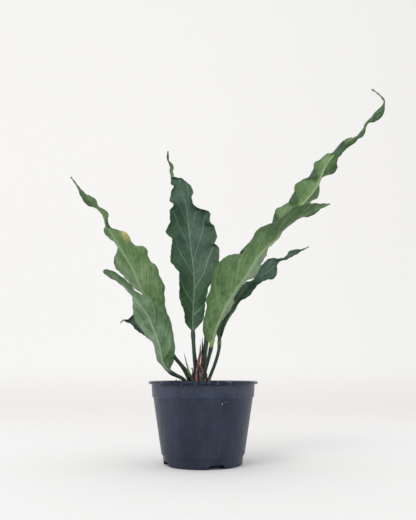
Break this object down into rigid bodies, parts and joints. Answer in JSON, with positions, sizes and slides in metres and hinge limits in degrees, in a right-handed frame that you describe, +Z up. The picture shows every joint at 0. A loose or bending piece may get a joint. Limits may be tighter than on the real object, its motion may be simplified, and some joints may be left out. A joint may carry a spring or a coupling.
{
  "type": "potted plant",
  "caption": "Potted aroid houseplant with long wavy-edged lance-shaped leaves on slim stalks, in a round plastic nursery pot with soil.",
  "frame": {"origin": "middle of the pot's flat base, on the surface that it stands on", "axes": "+Z up along the pot's axis, +X to the right and +Y away from the viewer in the picture's view"},
  "size_m": [0.3825, 0.1896, 0.4537],
  "materials": {
    "pot": "dark blue-grey moulded plastic, half matt, faint vertical streaks",
    "soil": "loose potting mix of bark, coir and perlite",
    "crown": "dry brown papery sheaths round a short green-brown stem",
    "shoot": "smooth fresh green rolled leaf",
    "leaf": "leathery leaf, dark green and half glossy above, paler and matt below, with a raised pale midrib"
  },
  "bodies": {
    "root": {"pot": "pot", "soil": "soil", "crown_with_papery_sheaths": "crown", "young_shoot": "shoot", "leaf_tall_left": "leaf", "leaf_front_left": "leaf", "leaf_back_left": "leaf", "leaf_centre": "leaf", "leaf_right_front": "leaf", "leaf_tall_right": "leaf", "leaf_right_back": "leaf"}
  },
  "joints": []
}
